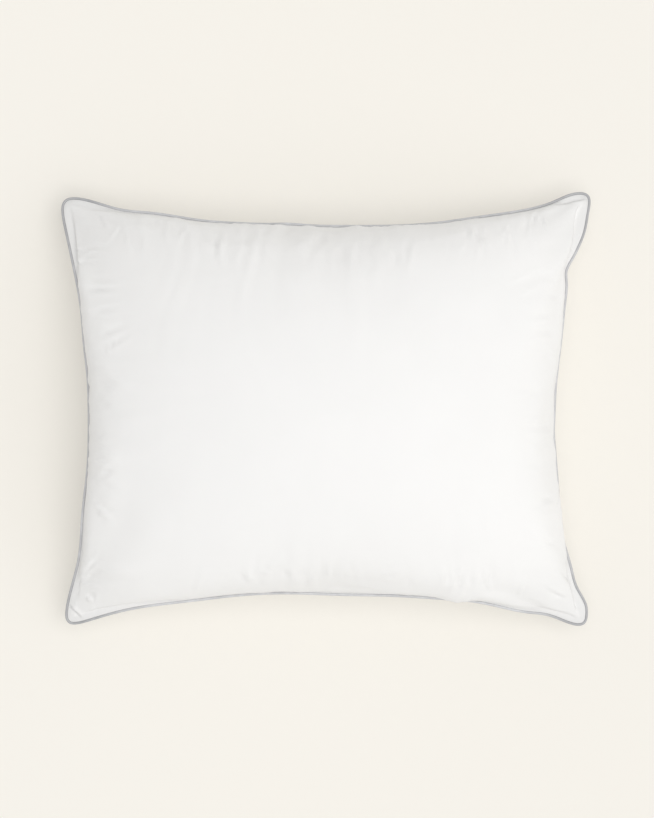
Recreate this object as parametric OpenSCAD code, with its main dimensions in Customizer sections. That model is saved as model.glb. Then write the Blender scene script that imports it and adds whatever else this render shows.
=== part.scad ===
// Bed pillow with a corded edge, lying on its bottom panel.
// Millimetres. +X runs along the long sides, +Y along the short sides, +Z up.
// The origin is the middle of the rest face.

/* [Size] */
// Length from tip to tip
pillow_length = 585; // [540:1:640]
// Width from tip to tip
pillow_width = 481; // [440:1:520]
// Height of the top panel over the middle of the rest face
loft = 190; // [165:1:205]

/* [Outline] */
// Distance from the middle to the left side, where the filling draws it in most
waist_left = 262; // [250:1:275]
// The same for the right side
waist_right = 251; // [240:1:275]
// The same for the top side
waist_top = 202; // [190:1:215]
// The same for the bottom side
waist_bottom = 203; // [190:1:215]
// How far the top left tip lies below the top right one
top_left_drop = 7; // [0:1:12]
// How far the bottom left tip lies inside the top left one
bottom_left_inset = 4; // [0:1:10]
// How far the bottom right tip lies inside the top right one
bottom_right_inset = 3; // [0:1:10]
// Where along a side its deepest point lies, as a share of the half side
waist_shift = 0.1; // [0:0.01:0.2]
// How late the sides turn out towards the tips
side_power = 2.6; // [2:0.1:3.5]
// How sharp the tips are
tip_power = 22; // [18:1:28]
// How far past a rounded tip its two sides would meet in a point
tip_reach = 8.5; // [4:0.5:10]

/* [Seam height] */
// Height of the seam at the middle of the left side
seam_left = 98; // [80:1:105]
// Height of the seam at the middle of the right side
seam_right = 80; // [75:1:100]
// Height of the seam at the middle of the top and bottom sides
seam_long = 86; // [78:1:100]
// Height of the seam at the tips
seam_tip = 48; // [40:1:60]

/* [Filling] */
// How far out the panels stay full
dome_power = 2.2; // [2:0.1:3]
// How steeply the panels leave the seam
dome_steepness = 0.46; // [0.42:0.01:0.7]
// How far the underside would hang below the seam if nothing held it up
belly = 116; // [105:1:120]
// Distance from the seam to the first loose filling, in mesh rows
fill_row = 3; // [3:1:4]

/* [Cloth and seam] */
// Thickness of the cotton panels
cloth = 0.6; // [0.5:0.1:0.8]
// Thickness of the piping tape
tape = 0.35; // [0.3:0.01:0.4]
// Width of the seam allowances inside the casing
allowance = 9; // [8.5:0.5:10]
// Space left between an allowance and the panel over it
fold_gap = 0.5; // [0.45:0.05:0.8]
// Radius of the piping cord
cord_r = 1.1; // [0.9:0.05:1.6]
// Radius of the sewing threads
thread_r = 0.2; // [0.15:0.01:0.22]

/* [Label] */
// Middle of the care label along the top side, as a share of the half side
label_place = 0.55; // [0.3:0.01:0.7]
// Width of the care label
label_width = 30; // [20:1:40]
// Thickness of the care label
label_thick = 0.3; // [0.2:0.05:0.4]

/* [Hidden] */

// ---- mesh rows ----
half_cells = 13;                 // cells from the middle of a panel to its seam
cells = 2 * half_cells;
cols = cells + 1;
rim_count = 4 * cells;           // places round the seam
tiny = 0.002;                    // step for slopes, as a share of the half side

// ---- section of the seam: a is outward from the fold line, h is up ----
fold_r = (2 * cloth + fold_gap) / 2;          // outside radius of the turned edge
fold_h = tape + fold_r;                       // height of its middle
panel_h = tape + 2 * fold_r;                  // the panel leaves the seam here
bead_in = cord_r + 0.05;                      // inside radius of the tape round the cord
bead_out = bead_in + 0.4;                     // outside radius of the piping
bead_a = bead_out - 0.2;                      // middle of the piping, outward
bead_reach = bead_a + bead_out;
slit = 0.03;                                  // half the gap between the tape's two layers
raw_edge = -allowance - fold_r;

// ---- plan ----
seam_x = pillow_length / 2 - bead_reach;
seam_y = pillow_width / 2 - bead_reach;

function mix(a, b, t) = a + (b - a) * (t + 1) / 2;
function turn(s, middle) = pow(abs(s - middle * (1 - s * s)), side_power);

// Each side runs from tip to tip and is drawn in at its waist.
function side(s, from, to, waist, middle) =
    let (tip = mix(from, to, s)) tip + (waist - tip) * (1 - turn(s, middle));

function left_x(v) = side(v, seam_x + tip_reach - bottom_left_inset, seam_x + tip_reach,
    waist_left - bead_reach, -waist_shift);
function right_x(v) = side(v, seam_x + tip_reach - bottom_right_inset, seam_x + tip_reach,
    waist_right - bead_reach, -waist_shift);
function top_y(u) = side(u, seam_y + tip_reach - top_left_drop, seam_y + tip_reach,
    waist_top - bead_reach, waist_shift);
function bottom_y(u) = side(u, seam_y + tip_reach, seam_y + tip_reach,
    waist_bottom - bead_reach, -waist_shift);

// Rounds the corners of the square that u and v span.
function rounding(u, v) =
    let (m = max(abs(u), abs(v)))
    m == 0 ? 1 : m / pow(pow(abs(u), tip_power) + pow(abs(v), tip_power), 1 / tip_power);

function raw_plan(u, v) =
    let (k = rounding(u, v), x = u * k, y = v * k)
    [mix(-left_x(y), right_x(y), x), mix(-bottom_y(x), top_y(x), y)];

function grid(i) = sin(90 * (i - half_cells) / half_cells);

// The rim runs anticlockwise from the bottom left corner of the grid.
function rim_cell(k) =
    let (edge = floor(k / cells), step = k % cells)
    edge == 0 ? [step, 0] :
    edge == 1 ? [cells, step] :
    edge == 2 ? [cells - step, cells] : [0, cells - step];
function rim_uv(k) = let (c = rim_cell(k)) [grid(c[0]), grid(c[1])];

raw_rim = [for (k = [0:rim_count - 1]) let (q = rim_uv(k)) raw_plan(q[0], q[1])];
raw_xs = [for (p = raw_rim) p.x];
raw_ys = [for (p = raw_rim) p.y];
fit_scale = [
    2 * seam_x / (max(raw_xs) - min(raw_xs)),
    2 * seam_y / (max(raw_ys) - min(raw_ys))
];
fit_middle = [(max(raw_xs) + min(raw_xs)) / 2, (max(raw_ys) + min(raw_ys)) / 2];

function plan(u, v) =
    let (p = raw_plan(u, v) - fit_middle) [p.x * fit_scale.x, p.y * fit_scale.y];

// ---- heights ----
function smooth(t) = t * t * (3 - 2 * t);

// The seam's own surface: high at the waists and low at the tips.
function seam_z(u, v) =
    let (ends = mix(seam_left, seam_right, u), share = u * u / (u * u + v * v + 0.01))
    let (waist = seam_long + (ends - seam_long) * share)
    seam_tip + (waist - seam_tip) * smooth(1 - u * u * v * v);

function bulge(s) = pow(max(0, 1 - pow(abs(s), dome_power)), dome_steepness);
crown = loft - panel_h - seam_z(0, 0);
sunk = 1;                        // how far the bottom panel is drawn below the rest face

// Outer face of a panel; up is 1 for the top panel and -1 for the bottom one.
function face(u, v, up) =
    let (p = plan(u, v), full = bulge(u) * bulge(v))
    let (z = seam_z(u, v) + up * panel_h + (up > 0 ? crown : -belly) * full)
    [p.x, p.y, up > 0 ? z : max(z, -sunk)];

function inside(x) = max(-1, min(1, x));
function outward(u, v, up) =
    let (du = face(inside(u + tiny), v, up) - face(inside(u - tiny), v, up))
    let (dv = face(u, inside(v + tiny), up) - face(u, inside(v - tiny), up))
    let (n = up * cross(du, dv)) n / norm(n);

function lining(u, v, up) =
    let (p = face(u, v, up) - cloth * outward(u, v, up))
    [p.x, p.y, up > 0 ? p.z : max(p.z, cloth)];

// ---- places round the seam ----
rim = [for (k = [0:rim_count - 1])
    let (q = rim_uv(k), p = plan(q[0], q[1])) [p.x, p.y, seam_z(q[0], q[1])]];
function flat_unit(p) = [p.x, p.y] / norm([p.x, p.y]);
rim_out = [for (k = [0:rim_count - 1])
    let (before = rim[(k + rim_count - 1) % rim_count], after = rim[(k + 1) % rim_count])
    let (t = flat_unit(rim[k] - before) + flat_unit(after - rim[k]))
    flat_unit([t.y, -t.x])];

// The point (a, h) of the seam's section at place k. What lies deep in the allowance is drawn
// towards the middle, so it stays clear of itself round the tips.
deep_a = -3;
function at_rim(k, s) =
    let (n = k % rim_count, q = rim_uv(n))
    let (p = s[0] < deep_a
        ? plan(q[0] * (1 + s[0] / seam_x), q[1] * (1 + s[0] / seam_y))
        : [rim[n].x, rim[n].y] + s[0] * rim_out[n])
    [p.x, p.y, rim[n].z + s[1]];

// ---- faces ----
function turned(list) = [for (f = list) [f[0], f[2], f[1]]];

// A sheet of rows x cols points, numbered from start, that faces up
function sheet(start, rows, cols) = [
    for (i = [0:rows - 2], j = [0:cols - 2])
    let (a = start + i * cols + j, b = a + cols, c = b + 1, d = a + 1)
    each [[a, c, b], [a, d, c]]
];

// A band between two closed rows of point numbers, the upper one first
function band(upper, lower) =
    let (n = len(upper))
    [for (k = [0:n - 1]) let (m = (k + 1) % n)
        each [[upper[k], upper[m], lower[m]], [upper[k], lower[m], lower[k]]]];

function edge_of(start, rows, cols) = concat(
    [for (i = [0:rows - 2]) start + i * cols],
    [for (j = [0:cols - 2]) start + (rows - 1) * cols + j],
    [for (i = [rows - 1:-1:1]) start + i * cols + cols - 1],
    [for (j = [cols - 1:-1:1]) start + j]
);

// The solid between two sheets of the same rows and columns
module between(upper, lower) {
    rows = len(upper);
    n = len(upper[0]);
    count = rows * n;
    points = concat([for (row = upper) each row], [for (row = lower) each row]);
    faces = concat(
        sheet(0, rows, n),
        turned(sheet(count, rows, n)),
        band(edge_of(0, rows, n), edge_of(count, rows, n))
    );
    polyhedron(points, faces, convexity = 4);
}

// A closed section, anticlockwise in a and h, taken all the way round the seam
module round_seam(section) {
    n = len(section);
    points = [for (k = [0:rim_count - 1]) each [for (s = section) at_rim(k, s)]];
    rows = [for (j = [0:n - 1]) [for (k = [0:rim_count - 1]) k * n + j]];
    faces = [for (j = [0:n - 1]) each turned(band(rows[j], rows[(j + 1) % n]))];
    polyhedron(points, faces, convexity = 6);
}

// The same section from one place on the seam to another, with flat ends
module along_seam(section, first, last) {
    n = len(section);
    count = last - first + 1;
    points = [for (k = [first:last]) each [for (s = section) at_rim(k, s)]];
    sides = [
        for (k = [0:count - 2], j = [0:n - 1])
        let (m = (j + 1) % n, a = k * n + j, b = k * n + m)
        each [[a, b + n, a + n], [a, b, b + n]]
    ];
    first_end = [for (j = [n - 1:-1:0]) j];
    last_end = [for (j = [0:n - 1]) (count - 1) * n + j];
    polyhedron(points, concat(sides, [first_end, last_end]), convexity = 4);
}

function arc(middle, r, from, to, steps) =
    [for (i = [0:steps]) let (t = from + (to - from) * i / steps)
        [middle[0] + r * cos(t), middle[1] + r * sin(t)]];
function ring(middle, r, sides) = [for (i = [0:sides - 1])
    [middle[0] + r * cos(360 * i / sides), middle[1] + r * sin(360 * i / sides)]];

// ---- panels ----
// A cotton shell whose edge turns in under itself as the seam allowance
module panel(up) {
    fold = arc([-fold_r, fold_h], fold_r, 60, -90, 3);
    hem = [
        [raw_edge, tape], [raw_edge, tape + cloth],
        [-fold_r, tape + cloth], [-fold_r + fold_gap / 2, fold_h]
    ];
    section = concat(fold, hem);
    count = cols * cols;
    start = [-fold_r, up * panel_h];
    end = [-fold_r, up * (panel_h - cloth)];
    last = cells;
    outer = [for (i = [0:last], j = [0:last])
        (i == 0 || j == 0 || i == last || j == last)
            ? at_rim(rim_index(i, j), start)
            : face(grid(i), grid(j), up)];
    inner = [for (i = [0:last], j = [0:last])
        (i == 0 || j == 0 || i == last || j == last)
            ? at_rim(rim_index(i, j), end)
            : lining(grid(i), grid(j), up)];
    turned_edge = [for (s = section) each
        [for (k = [0:rim_count - 1]) at_rim(k, [s[0], up * s[1]])]];
    rows = concat(
        [edge_of(0, cols, cols)],
        [for (r = [0:len(section) - 1])
            [for (k = [0:rim_count - 1]) 2 * count + r * rim_count + k]],
        [edge_of(count, cols, cols)]
    );
    faces = concat(
        sheet(0, cols, cols),
        turned(sheet(count, cols, cols)),
        [for (r = [0:len(rows) - 2]) each band(rows[r], rows[r + 1])]
    );
    polyhedron(concat(outer, inner, turned_edge), up > 0 ? faces : turned(faces),
        convexity = 8);
}

function rim_index(i, j) =
    j == 0 && i < cells ? i :
    i == cells && j < cells ? cells + j :
    j == cells && i > 0 ? 2 * cells + cells - i : 3 * cells + cells - j;

module top_panel() {
    color("#f8f6f1") panel(1);
}

// What is drawn below the rest face is cut off, so that the pillow lies flat.
module bottom_panel() {
    block = 20 * sunk;
    color("#f4f2ee") difference() {
        panel(-1);
        translate([-pillow_length, -pillow_width, -block])
            cube([2 * pillow_length, 2 * pillow_width, block]);
    }
}

// ---- piping ----
// The tape goes round the cord and back, and its two layers lie between the allowances.
module piping_tape() {
    lip = asin(tape / bead_out);
    mouth = asin(slit / bead_in);
    section = concat(
        [[raw_edge, -slit], [raw_edge, -tape]],
        arc([bead_a, 0], bead_out, -180 + lip, 180 - lip, 9),
        [[raw_edge, tape], [raw_edge, slit]],
        arc([bead_a, 0], bead_in, 180 - mouth, -180 + mouth, 9)
    );
    color("#b4b6b9") round_seam(section);
}

module piping_cord() {
    color("#efece4") round_seam(ring([bead_a, 0], cord_r, 8));
}

// ---- filling ----
module down_fill() {
    rows = [fill_row:cells - fill_row];
    color("#fbfaf7") between(
        [for (i = rows) [for (j = rows) lining(grid(i), grid(j), 1)]],
        [for (i = rows) [for (j = rows) lining(grid(i), grid(j), -1)]]
    );
}

// ---- threads ----
gap = 0.02;                                   // between a thread and what it lies on
stitch_a = -fold_r - 0.35;                    // the lockstitch lies just inside the fold
stitch_h = tape + cloth + thread_r + gap;

module needle_thread() {
    color("white") round_seam(ring([stitch_a, stitch_h], thread_r, 6));
}

module bobbin_thread() {
    color("white") round_seam(ring([stitch_a, -stitch_h], thread_r, 6));
}

// The overlock goes round the raw edges of both allowances and the tape.
module overlock_thread() {
    width = 3.5;
    thick = 0.22;
    low = tape + cloth + gap;
    near = raw_edge - gap;
    far = raw_edge + width;
    section = [
        [far, -low], [near, -low], [near, low], [far, low],
        [far, low + thick], [near - thick, low + thick],
        [near - thick, -low - thick], [far, -low - thick]
    ];
    color("white") round_seam(section);
}

// Slip stitches that shut the filling opening, in the groove under the piping
module closing_thread() {
    middle = 2 * cells + half_cells;
    reach = 4;                                // rim places to each side of the middle
    groove = [0.19, -fold_h - 0.3];
    color("white") along_seam(ring(groove, thread_r, 6), middle - reach, middle + reach);
}

// ---- label ----
// A plain ribbon that comes out of the seam and lies along the bottom panel
module care_label() {
    lift = 0.45;
    half = label_width / 2 / seam_x;
    across = [for (s = [-1:0.5:1]) label_place + s * half];
    down = [cells - 3:cells - 1];
    function strip(rise) = [for (u = across) concat(
        [for (j = down) face(u, grid(j), -1) + rise * outward(u, grid(j), -1)],
        [let (p = plan(u, 1)) [p.x, p.y - fold_r, seam_z(u, 1) - panel_h - rise]]
    )];
    color("white") between(strip(lift), strip(lift + label_thick));
}

top_panel();
bottom_panel();
piping_tape();
piping_cord();
down_fill();
needle_thread();
bobbin_thread();
overlock_thread();
closing_thread();
care_label();
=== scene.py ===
"""Looks of the bed pillow: a cotton casing sewn with a corded edge, filled with down and lying on a pale floor.

Metres, in the row frame: +X along the long sides, +Y along the short sides, +Z up, the rest face at z = 0.
The two panels are cut flat, held along the seam and blown up by a small cloth solver. The finer puckers and
folds at the seam are then laid on the filled shape, and the piping and the threads follow its seam.
"""

import math

import bpy
import numpy as np
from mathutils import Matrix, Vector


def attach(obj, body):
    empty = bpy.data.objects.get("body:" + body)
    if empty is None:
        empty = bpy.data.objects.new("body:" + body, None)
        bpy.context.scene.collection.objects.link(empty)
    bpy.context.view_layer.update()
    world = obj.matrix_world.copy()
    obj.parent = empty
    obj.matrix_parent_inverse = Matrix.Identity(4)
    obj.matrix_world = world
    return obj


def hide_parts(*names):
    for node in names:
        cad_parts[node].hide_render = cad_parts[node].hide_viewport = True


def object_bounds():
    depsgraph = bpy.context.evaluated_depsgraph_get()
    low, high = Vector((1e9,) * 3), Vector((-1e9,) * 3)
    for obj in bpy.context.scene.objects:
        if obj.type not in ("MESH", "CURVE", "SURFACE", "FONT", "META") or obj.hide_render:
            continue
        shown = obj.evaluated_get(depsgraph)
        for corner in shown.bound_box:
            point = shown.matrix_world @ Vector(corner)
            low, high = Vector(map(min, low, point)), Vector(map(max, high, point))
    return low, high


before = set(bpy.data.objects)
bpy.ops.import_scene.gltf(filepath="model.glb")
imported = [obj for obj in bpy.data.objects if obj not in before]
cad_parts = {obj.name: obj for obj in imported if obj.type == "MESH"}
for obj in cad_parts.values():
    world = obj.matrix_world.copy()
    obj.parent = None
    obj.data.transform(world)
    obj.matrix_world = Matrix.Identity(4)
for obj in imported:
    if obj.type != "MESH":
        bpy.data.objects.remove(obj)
cad_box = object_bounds()

MM = 0.001

# ---- the casing ----
CUT = np.array([600, 500]) * MM  # a panel from seam to seam before it is filled
COARSE_CELLS = (28, 23)  # cells of the first, coarse cloth
PANEL_THICK = 0.6 * MM
TAPE_THICK = 0.35 * MM
ALLOWANCE = 9 * MM  # the sewn edge that is turned inside
FOLD_R = 0.85 * MM  # outside radius of a panel's turned edge
FOLD_H = TAPE_THICK + FOLD_R
PANEL_H = TAPE_THICK + 2 * FOLD_R  # a panel leaves the seam this far from its middle
RAW_EDGE = -ALLOWANCE - FOLD_R
TO_MIDDLE = -3 * MM  # further in than this, the allowances are drawn towards the middle

# ---- the piping ----
CORD_R = 1.1 * MM
BEAD_R = 1.55 * MM
BEAD_A = 1.35 * MM  # the piping's middle, outward from the seam
BEAD_REACH = BEAD_A + BEAD_R

# ---- the seam as it lies ----
TIP_X = (cad_box[1][0] - cad_box[0][0]) / 2 - BEAD_REACH
TIP_Y = (cad_box[1][1] - cad_box[0][1]) / 2 - BEAD_REACH
TIP_REACH = 8.5 * MM  # a rounded tip's sides would meet this much further out
TIP_POWER = 22  # how sharp the tips are
WAIST = {"left": 262, "right": 251, "top": 202, "bottom": 203}  # mm from the middle
WAIST_SHIFT = 0.1  # how far the waists lie from the middles of the sides, share
SIDE_POWER = 2.6  # how straight a side runs past its waist
TOP_LEFT_DROP = 7 * MM
BOTTOM_LEFT_INSET = 4 * MM
BOTTOM_RIGHT_INSET = 3 * MM
SEAM_Z = {"left": 98, "right": 80, "long": 86, "tip": 48}  # mm above the rest face
CROWN_Z = cad_box[1][2]
DOME_POWER, DOME_STEEPNESS = 2.2, 0.6  # of the plain domes that the solver starts from
BELLY = 1.35  # how far the lower one would pass the rest face
# where a side strays from its smooth line: (place along it, half width, how far outward), mm
BENDS = {
    "left": [(170, 60, 2), (75, 30, 2), (-110, 45, 4.5), (-195, 35, 3.5)],
    "right": [(187, 20, 3.5), (147, 13, -4.5), (75, 45, 3), (-25, 14, -1), (-85, 40, 2.5), (-165, 25, 3),
              (-208, 15, 5)],
    "top": [(-220, 30, -4), (-130, 45, -2), (-40, 20, 1.5), (165, 50, 3.2), (262, 18, 3)],
    "bottom": [(-150, 60, 3.8), (20, 45, 1.8), (165, 45, -3.2), (240, 24, -5)],
}


# ---- seam ----
def smooth(t):
    t = np.clip(t, 0, 1)
    return t * t * (3 - 2 * t)


def mix(a, b, t):
    return a + (b - a) * (t + 1) / 2


def bump(s, at, wide, power=2):
    return np.exp(-np.abs((s - at) / wide) ** power)


def from_seam(u, v):
    """How far the cloth's points lie from the nearest side."""
    return np.minimum((1 - np.abs(u)) * CUT[0], (1 - np.abs(v)) * CUT[1]) / 2


def side(name, s, start, end, middle):
    """Distance from the middle to a side that runs from tip to tip and is drawn in at its waist."""
    tip = mix(start, end, s)
    drawn = (WAIST[name] * MM - BEAD_REACH - tip) * (1 - np.abs(s - middle * (1 - s * s)) ** SIDE_POWER)
    half = (TIP_Y if name in ("left", "right") else TIP_X) / MM
    strays = sum(far * bump(s * half, place, wide) for place, wide, far in BENDS[name])
    return tip + drawn + strays * MM


def plan(u, v):
    """The place on the plan of the cloth's point (u, v), each from -1 to 1."""
    size = np.maximum(np.abs(u), np.abs(v))
    round_off = (np.abs(u) ** TIP_POWER + np.abs(v) ** TIP_POWER) ** (1 / TIP_POWER)
    k = np.where(size > 1e-9, size / np.maximum(round_off, 1e-9), 1)
    x, y = u * k, v * k
    far_x, far_y = TIP_X + TIP_REACH, TIP_Y + TIP_REACH
    left = side("left", y, far_x - BOTTOM_LEFT_INSET, far_x, -WAIST_SHIFT)
    right = side("right", y, far_x - BOTTOM_RIGHT_INSET, far_x, -WAIST_SHIFT)
    top = side("top", x, far_y - TOP_LEFT_DROP, far_y, WAIST_SHIFT)
    bottom = side("bottom", x, far_y, far_y, -WAIST_SHIFT)
    return mix(-left, right, x), mix(-bottom, top, y)


def seam_height(u, v):
    """The seam's height at (u, v): level along each side, and drawn down to the tips."""
    ends = mix(SEAM_Z["left"], SEAM_Z["right"], u)
    share = u * u / (u * u + v * v + 0.01)
    waist = SEAM_Z["long"] + (ends - SEAM_Z["long"]) * share
    return MM * (SEAM_Z["tip"] + (waist - SEAM_Z["tip"]) * smooth(1 - u * u * v * v))


def cloth_grid(cells, crowd=0):
    """The places (u, v) of a cloth's points; crowd draws them together towards the seam."""
    even = (np.linspace(-1, 1, n + 1) for n in cells)
    return np.meshgrid(*(t + crowd * np.sin(np.pi * t) / np.pi for t in even), indexing="ij")


def first_shape(u, v):
    """Both panels as plain domes on the seam: [panel, i, j, xyz]."""
    x, y = plan(u, v)
    z = seam_height(u, v)
    full = ((1 - np.abs(u) ** DOME_POWER) * (1 - np.abs(v) ** DOME_POWER)) ** DOME_STEEPNESS
    top = np.stack([x, y, z + full * (CROWN_Z - z.max())], -1)
    bottom = np.stack([x, y, np.maximum(z - full * BELLY * z.max(), 0)], -1)
    return np.stack([top, bottom])


# ---- cloth ----
ALL = slice(None)


def pairs(axis, count, step, start):
    """Slices for the pairs (i, i + step) along an axis, from start, none of which share a point."""
    first = np.arange(start, count - step, 2 * step)
    a, b = [ALL, ALL, ALL], [ALL, ALL, ALL]
    a[axis], b[axis] = first, first + step
    return tuple(a), tuple(b)


def links(cells):
    """The threads, the shear diagonals and the bending links: (slices a, slices b, length, kind)."""
    size = CUT / cells
    made = []
    for axis in (1, 2):
        count = cells[axis - 1] + 1
        for step, kind in ((1, "thread"), (2, "bend")):
            for start in range(2 * step):
                made.append((*pairs(axis, count, step, start), step * size[axis - 1], kind))
    low, high = slice(0, -1), slice(1, None)
    for start in (0, 1):
        first = np.arange(start, cells[0], 2)
        for near, far in ((low, high), (high, low)):
            made.append(((ALL, first, near), (ALL, first + 1, far), math.hypot(*size), "shear"))
    return made


def pull(cloth, free, link, stiff, slack):
    """Moves each pair of linked points towards the link's length; slack weakens a link in compression."""
    a, b, length, _ = link
    gap = cloth[b] - cloth[a]
    now = np.sqrt((gap * gap).sum(-1))
    error = now - length
    error = np.where(error > 0, error * stiff[0], error * stiff[1] * slack)
    share = free[a] + free[b]
    move = (error / np.maximum(now * share, 1e-9))[..., None] * gap
    cloth[a] += move * free[a][..., None]
    cloth[b] -= move * free[b][..., None]


def face_normals_of(cloth):
    """Unit outward normals of both panels."""
    n = np.cross(np.gradient(cloth, axis=1), np.gradient(cloth, axis=2))
    n[1] *= -1
    return n / np.maximum(np.linalg.norm(n, axis=-1, keepdims=True), 1e-12)


STIFF = {"thread": (1, 1), "shear": (0.1, 0.1), "bend": (0, 0.06)}  # stretched, pressed
EDGE_ROUND = np.array([75, 90]) * MM  # how roundly each panel rises from the seam
OVER_PIPING = 0.5 * MM  # how far the panels stand out past the seam above and below it
LOWER_PAST_SEAM = {"left": 3, "right": 0, "top": 0, "bottom": 0}  # mm
MOST_INSET = 30 * MM


def hold_in(cloth, seam):
    """Keeps both panels within the seam's outline, as the pull of each on the seam would."""
    reach = np.array(cloth.shape[1:3]) // 4
    for name, axis, low in (("left", 0, True), ("right", 0, False), ("bottom", 1, True), ("top", 1, False)):
        near = [slice(0, reach[axis])] if low else [slice(-reach[axis], None)]
        part = cloth[(ALL, *near)] if axis == 0 else cloth[(ALL, ALL, *near)]
        edge = (seam[0] if low else seam[-1]) if axis == 0 else (seam[:, 0] if low else seam[:, -1])
        along, across = part[..., 1 - axis], part[..., axis]
        order = np.argsort(edge[:, 1 - axis])
        key = edge[order, 1 - axis]
        rise = part[..., 2] - np.interp(along, key, edge[order, 2])
        inset = rise ** 2 / (2 * EDGE_ROUND[:, None, None]) - OVER_PIPING
        inset[1] -= LOWER_PAST_SEAM[name] * MM
        inset = np.minimum(inset, MOST_INSET)
        limit = np.interp(along, key, edge[order, axis])
        part[..., axis] = np.maximum(across, limit + inset) if low else np.minimum(across, limit - inset)


def settle(cloth, steps, pressure, rounds, slack, drag=0.975):
    """Steps the cloth under pressure with its seam held and the floor under it."""
    cells = np.array(cloth.shape[1:3]) - 1
    free = np.zeros(cloth.shape[:3])
    free[:, 1:-1, 1:-1] = 1
    held = cloth.copy()
    before = cloth.copy()
    all_links = links(cells)
    for _ in range(steps):
        speed = (cloth - before) * drag
        before = cloth.copy()
        cloth = cloth + (speed + pressure * face_normals_of(cloth)) * free[..., None]
        for _ in range(rounds):
            for link in all_links:
                pull(cloth, free, link, STIFF[link[3]], slack if link[3] == "thread" else 1)
            cloth[1, ..., 2] = np.maximum(cloth[1, ..., 2], 0)
        hold_in(cloth, held[0])
        cloth = np.where(free[..., None] > 0, cloth, held)
    return cloth


def resampled(cloth, places):
    """The same cloth at other places along both axes, on smooth curves through its points."""
    for axis, at in zip((1, 2), places):
        a = np.moveaxis(cloth, axis, 0)
        a = np.concatenate([2 * a[:1] - a[1:2], a, 2 * a[-1:] - a[-2:-1]])
        spot = (at + 1) / 2 * (len(a) - 3)
        k = np.clip(spot.astype(int), 0, len(a) - 4)
        t = (spot - k).reshape(-1, *[1] * (a.ndim - 1))
        p, q, r, w = a[k], a[k + 1], a[k + 2], a[k + 3]
        a = q + t / 2 * (r - p + t * (2 * p - 5 * q + 4 * r - w + t * (3 * (q - r) + w - p)))
        cloth = np.moveaxis(a, 0, axis)
    return cloth


def finer(cloth, factor):
    """The cloth with factor times as many cells each way."""
    cells = (np.array(cloth.shape[1:3]) - 1) * factor
    return on_seam(resampled(cloth, [np.linspace(-1, 1, n + 1) for n in cells]), *cloth_grid(cells))


def on_seam(cloth, u, v):
    """The cloth with its edge put back on the seam."""
    seam = first_shape(u, v)
    for edge in ((ALL, [0, -1]), (ALL, ALL, [0, -1])):
        cloth[edge] = seam[edge]
    return cloth


# the broad folds that the solver leaves, and how far the filling takes them out: everywhere but at the seam
# (share, where it starts and over what width), and at each tip (u, v, share)
ROUND_SHARE, ROUND_FROM, ROUND_OVER = 0.85, 8 * MM, 32 * MM
TIP_ROUNDING = [(-1, 1, 0.7), (1, 1, 0.4), (-1, -1, 1.0), (1, -1, 0.8)]
TIP_AREA = 140 * MM
SOFTENING = 0.35  # of each round, towards the mean of the neighbours


def softened(cloth, rounds):
    """The cloth, changed in place, with each point drawn towards its neighbours, round after round."""
    for _ in range(rounds):
        inner = cloth[:, 1:-1, 1:-1]
        around = (cloth[:, 2:, 1:-1] + cloth[:, :-2, 1:-1] + cloth[:, 1:-1, 2:] + cloth[:, 1:-1, :-2]) / 4
        cloth[:, 1:-1, 1:-1] = inner + SOFTENING * (around - inner)
    return cloth


def rounded_out(cloth, u, v):
    """Takes the broad folds that the solver leaves most of the way out, as the filling would."""
    full = softened(cloth.copy(), 60)
    away = smooth((from_seam(u, v) - ROUND_FROM) / ROUND_OVER)
    cloth = cloth + (ROUND_SHARE * away)[None, ..., None] * (full - cloth)
    full = softened(cloth.copy(), 160)
    for at_u, at_v, share in TIP_ROUNDING:
        near = np.exp(-(((u - at_u) * CUT[0] / 2) ** 2 + ((v - at_v) * CUT[1] / 2) ** 2) / TIP_AREA ** 2)
        cloth = cloth + (share * near)[None, ..., None] * (full - cloth)
    return cloth


def inflate():
    """The filled casing, from the coarse cloth to the fine one: [panel, i, j, xyz], and its (u, v)."""
    random = np.random.default_rng(7)
    cloth = settle(first_shape(*cloth_grid(COARSE_CELLS)), steps=300, pressure=2e-5, rounds=2, slack=0.3)
    cloth = settle(finer(cloth, 2), steps=260, pressure=1e-5, rounds=2, slack=0.5)
    cloth = finer(cloth, 2)
    cloth[:, 1:-1, 1:-1] += random.normal(0, 0.3 * MM, cloth[:, 1:-1, 1:-1].shape)
    cloth = settle(cloth, steps=200, pressure=4e-6, rounds=2, slack=0.6)
    cloth = settle(cloth, steps=60, pressure=2e-6, rounds=4, slack=1.0)
    cloth = rounded_out(cloth, *cloth_grid(np.array(COARSE_CELLS) * 4))
    u, v = cloth_grid(np.array(COARSE_CELLS) * 8, crowd=0.5)
    cloth = resampled(softened(cloth, 3), (u[:, 0], v[0]))
    return on_seam(cloth, u, v), u, v


# ---- edges ----
# where the casing lies flat along the seam, as the filling does not reach in, mm:
# (place along the side, half width, share, how wide the flat edge is)
FLAT_EARS = {
    "left": [(195, 36, 0.9, 7.5), (-200, 18, 0.3, 8)], "right": [(192, 36, 1.0, 12), (-202, 26, 1.0, 10)],
    "top": [(-262, 22, 0.3, 7), (276, 18, 0.9, 6)], "bottom": [(-225, 50, 0.5, 9), (262, 24, 0.5, 7)],
}
FLAT_FADE = 6  # further in than that by this much, the cloth is full again, mm
FLAT_RISE = 0.12  # how steeply the two flat edges part
# where the top panel bulges out over the piping: (place along the side, half width, how far), mm
SPILLS = {
    "left": [(120, 40, 1.6), (0, 110, 1.2)], "right": [(65, 75, 1.8), (-40, 50, 1.4), (-128, 40, 4.6)],
    "top": [(0, 170, 0.8)], "bottom": [(142, 15, 4.2), (0, 150, 0.8)],
}
SPILL_PEAK = 8  # how far in from the seam the bulge is, mm
SPILL_END = 200  # the bulge is gone long before this far in, mm
OUT_OF_REACH = 1000  # stands for the far half of the casing, mm


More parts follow.
